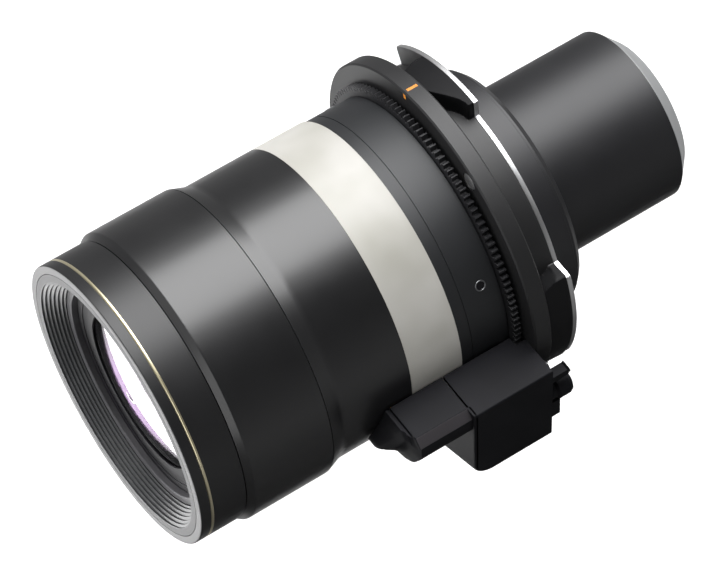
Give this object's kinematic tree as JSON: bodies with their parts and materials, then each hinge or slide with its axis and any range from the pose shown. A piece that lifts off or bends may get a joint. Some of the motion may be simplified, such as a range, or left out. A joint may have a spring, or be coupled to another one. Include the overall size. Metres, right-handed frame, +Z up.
{
  "type": "projection zoom lens",
  "caption": "Motorised zoom projection lens: stepped black barrel with a cream band, geared zoom ring, bayonet mount, slim rear barrel and a drive housing on its side.",
  "frame": {"origin": "centre of the mount flange's rear seat, on the optical axis", "axes": "+Y along the optical axis from the front glass to the rear barrel, +Z up, +X towards the drive housing"},
  "size_m": [0.149, 0.2393, 0.138],
  "materials": {
    "satin_black": "satin",
    "front_black": "satin",
    "cream_satin": "fine brushed satin",
    "gold_paint": "satin",
    "baffle_grey": "matte",
    "inner_black": "matte",
    "dark_aluminium": "anodised satin",
    "gear_plastic": "matte",
    "coated_glass": "polished, faint violet coating",
    "plain_glass": "polished",
    "bright_plate": "bright",
    "orange_mark": "satin",
    "silver_screw": "bright",
    "black_screw": "blackened",
    "rear_grey": "satin",
    "housing_black": "fine grain",
    "bracket_metal": "plain",
    "motor_steel": "plain",
    "brass": "plain",
    "pin_steel": "ground",
    "board_green": "satin"
  },
  "bodies": {
    "body": {"front_barrel": "satin_black", "mid_barrel": "satin_black", "cream_band": "cream_satin", "rear_cover": "satin_black", "barrel_screws": "black_screw", "guide_tube": "dark_aluminium", "thrust_ring": "dark_aluminium", "mount_flange": "satin_black", "index_marks": "orange_mark", "flange_screws": "silver_screw", "bayonet_neck": "satin_black", "bayonet_plate": "bright_plate", "plate_screws": "silver_screw", "rear_ring": "satin_black", "rear_collar": "satin_black", "relay_cell": "dark_aluminium", "relay_glass": "plain_glass", "aperture_ring": "inner_black", "rear_barrel": "satin_black", "rear_rim": "rear_grey", "rear_glass": "plain_glass", "motor_housing": "housing_black", "gear_cover": "housing_black", "motor_bracket": "bracket_metal", "zoom_motor": "motor_steel", "focus_motor": "motor_steel", "shaft_bushes": "brass", "circuit_board": "board_green", "connector_shell": "housing_black", "connector_pins": "brass", "guide_post": "housing_black", "latch_finger": "housing_black", "housing_screws": "black_screw"},
    "front_group": {"front_ring": "front_black", "gold_line": "gold_paint", "ridged_baffle": "baffle_grey", "clamping_ring": "baffle_grey", "glass_retainer": "inner_black", "front_cell": "dark_aluminium", "front_glass": "coated_glass", "second_glass": "plain_glass", "front_spacer": "inner_black", "focus_pins": "pin_steel"},
    "focus_ring_body": {"focus_ring": "dark_aluminium"},
    "focus_gear": {"focus_pinion": "brass"},
    "zoom_ring": {"cam_barrel": "dark_aluminium", "zoom_gear": "gear_plastic"},
    "zoom_drive": {"zoom_pinion": "brass"},
    "variator": {"variator_cell": "dark_aluminium", "variator_glass": "plain_glass", "variator_pins": "pin_steel"},
    "compensator": {"compensator_cell": "dark_aluminium", "compensator_glass": "plain_glass", "compensator_pins": "pin_steel"}
  },
  "joints": [
    {"name": "zoom_turn", "type": "hinge", "parent": "body", "child": "zoom_ring", "pos_m": [0, -0.03, 0], "axis": [0, 1, 0], "range_deg": [0, 90]},
    {"name": "zoom_pinion_turn", "type": "hinge", "parent": "body", "child": "zoom_drive", "pos_m": [0.05987, -0.0102, -0.0304], "axis": [0, 1, 0], "range_deg": [-868, 0]},
    {"name": "variator_slide", "type": "slide", "parent": "body", "child": "variator", "axis": [0, 1, 0], "range_m": [0, 0.016]},
    {"name": "compensator_slide", "type": "slide", "parent": "body", "child": "compensator", "axis": [0, 1, 0], "range_m": [0, 0.005]},
    {"name": "focus_turn", "type": "hinge", "parent": "body", "child": "focus_ring_body", "pos_m": [0, -0.07, 0], "axis": [0, 1, 0], "range_deg": [0, 90]},
    {"name": "focus_pinion_turn", "type": "hinge", "parent": "body", "child": "focus_gear", "pos_m": [0.06251, -0.0643, -0.0128], "axis": [0, 1, 0], "range_deg": [-507, 0]},
    {"name": "focus_slide", "type": "slide", "parent": "body", "child": "front_group", "axis": [0, 1, 0], "range_m": [-0.006, 0]}
  ],
  "couplings": [
    {"joint": "zoom_pinion_turn", "follows": "zoom_turn", "ratio": -9.6429},
    {"joint": "variator_slide", "follows": "zoom_turn", "m_per_rad": 0.010186},
    {"joint": "compensator_slide", "follows": "zoom_turn", "m_per_rad": 0.003183},
    {"joint": "focus_pinion_turn", "follows": "focus_turn", "ratio": -5.625},
    {"joint": "focus_slide", "follows": "focus_turn", "m_per_rad": -0.0038197}
  ]
}
